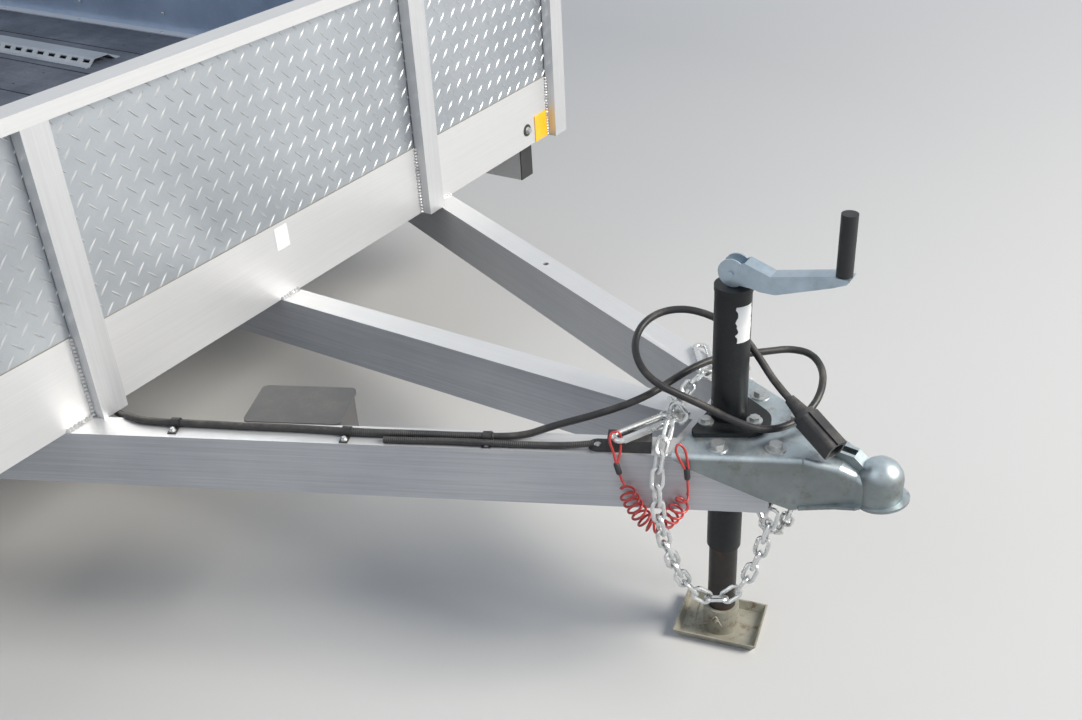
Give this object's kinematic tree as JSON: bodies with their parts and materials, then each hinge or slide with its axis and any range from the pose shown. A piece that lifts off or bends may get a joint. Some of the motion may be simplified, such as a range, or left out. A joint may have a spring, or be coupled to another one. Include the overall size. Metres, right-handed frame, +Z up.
{
  "type": "utility trailer",
  "caption": "Open utility trailer with aluminium tube frame, plank deck, treadplate walls, rear ramp gate, tandem wheels under fenders, and a tongue with coupler, jack and chains.",
  "frame": {"origin": "on the ground, under the middle of the trailer's length and width", "axes": "+Y to the rear along the trailer, +Z up, +X to the right when looking from the tongue to the bed"},
  "size_m": [2.5728, 4.9136, 1.7782],
  "materials": {
    "mill_aluminium": "mill, faint extrusion lines",
    "treadplate": "bright, raised lugs",
    "smooth_sheet": "smooth, satin",
    "deck_wood": "dark stained, dusty",
    "zinc": "zinc plated, dull",
    "black_paint": "satin",
    "greasy_steel": "greasy, rust tinted",
    "yellow_zinc": "dirty, worn",
    "galvanised": "galvanised, dull",
    "wheel_silver": "satin silver",
    "tyre": "dusty",
    "black_plastic": "matte",
    "cord_jacket": "satin",
    "red_jacket": "gloss",
    "black_rubber": "matte",
    "amber_lens": "prismatic",
    "red_lens": "gloss"
  },
  "bodies": {
    "frame": {"axle_front": "galvanised", "axle_rear": "galvanised", "breakaway_cable": "red_jacket", "breakaway_switch": "black_plastic", "chain_hooks": "zinc", "coupler": "zinc", "coupler_bolts": "zinc", "deck_boards": "deck_wood", "fender_left": "treadplate", "fender_right": "treadplate", "floor_joists": "mill_aluminium", "front_posts": "mill_aluminium", "front_rail": "mill_aluminium", "front_reflectors": "amber_lens", "front_sheet": "treadplate", "grip_strips": "mill_aluminium", "harness_clips": "black_rubber", "jack_tube": "black_paint", "junction_box": "black_plastic", "main_rail_left": "mill_aluminium", "main_rail_right": "mill_aluminium", "rail_end_caps": "black_plastic", "rear_sill": "mill_aluminium", "safety_chain_left": "zinc", "safety_chain_right": "zinc", "side_posts_left": "mill_aluminium", "side_posts_right": "mill_aluminium", "side_rail_left": "mill_aluminium", "side_rail_right": "mill_aluminium", "side_sheet_left": "treadplate", "side_sheet_right": "treadplate", "sill_hinges": "mill_aluminium", "tail_lamps": "red_lens", "tongue_cross_tube": "mill_aluminium", "tongue_tube_centre": "mill_aluminium", "tongue_tube_left": "mill_aluminium", "tongue_tube_right": "mill_aluminium", "top_rail_front": "mill_aluminium", "top_rail_left": "mill_aluminium", "top_rail_right": "mill_aluminium", "trailer_cord": "cord_jacket", "trailer_plug": "black_plastic", "wall_linings": "smooth_sheet", "wiring_harness": "cord_jacket"},
    "wheel_front_left": {"rim_front_left": "wheel_silver", "tyre_front_left": "tyre"},
    "wheel_front_right": {"rim_front_right": "wheel_silver", "tyre_front_right": "tyre"},
    "wheel_rear_left": {"rim_rear_left": "wheel_silver", "tyre_rear_left": "tyre"},
    "wheel_rear_right": {"rim_rear_right": "wheel_silver", "tyre_rear_right": "tyre"},
    "rear_gate": {"gate_frame": "mill_aluminium", "gate_slats": "mill_aluminium", "gate_hinges": "mill_aluminium"},
    "jack_leg": {"jack_leg": "greasy_steel", "jack_foot": "yellow_zinc"},
    "jack_crank": {"jack_crank": "zinc", "crank_grip": "black_rubber"}
  },
  "joints": [
    {"name": "front_left_wheel_spin", "type": "hinge", "parent": "frame", "child": "wheel_front_left", "pos_m": [-1.174, 0.5062, 0.3315], "axis": [1, 0, 0], "continuous": true},
    {"name": "front_right_wheel_spin", "type": "hinge", "parent": "frame", "child": "wheel_front_right", "pos_m": [1.174, 0.5062, 0.3315], "axis": [1, 0, 0], "continuous": true},
    {"name": "rear_left_wheel_spin", "type": "hinge", "parent": "frame", "child": "wheel_rear_left", "pos_m": [-1.174, 1.3702, 0.3315], "axis": [1, 0, 0], "continuous": true},
    {"name": "rear_right_wheel_spin", "type": "hinge", "parent": "frame", "child": "wheel_rear_right", "pos_m": [1.174, 1.3702, 0.3315], "axis": [1, 0, 0], "continuous": true},
    {"name": "gate_hinge", "type": "hinge", "parent": "frame", "child": "rear_gate", "pos_m": [0, 2.4478, 0.555], "axis": [-1, 0, 0], "range_deg": [0, 117]},
    {"name": "jack_lift", "type": "slide", "parent": "frame", "child": "jack_leg", "axis": [0, 0, 1], "range_m": [0, 0.13]},
    {"name": "jack_crank_turn", "type": "hinge", "parent": "frame", "child": "jack_crank", "pos_m": [0, -2.1618, 0.711], "axis": [0, 0, 1], "continuous": true}
  ]
}
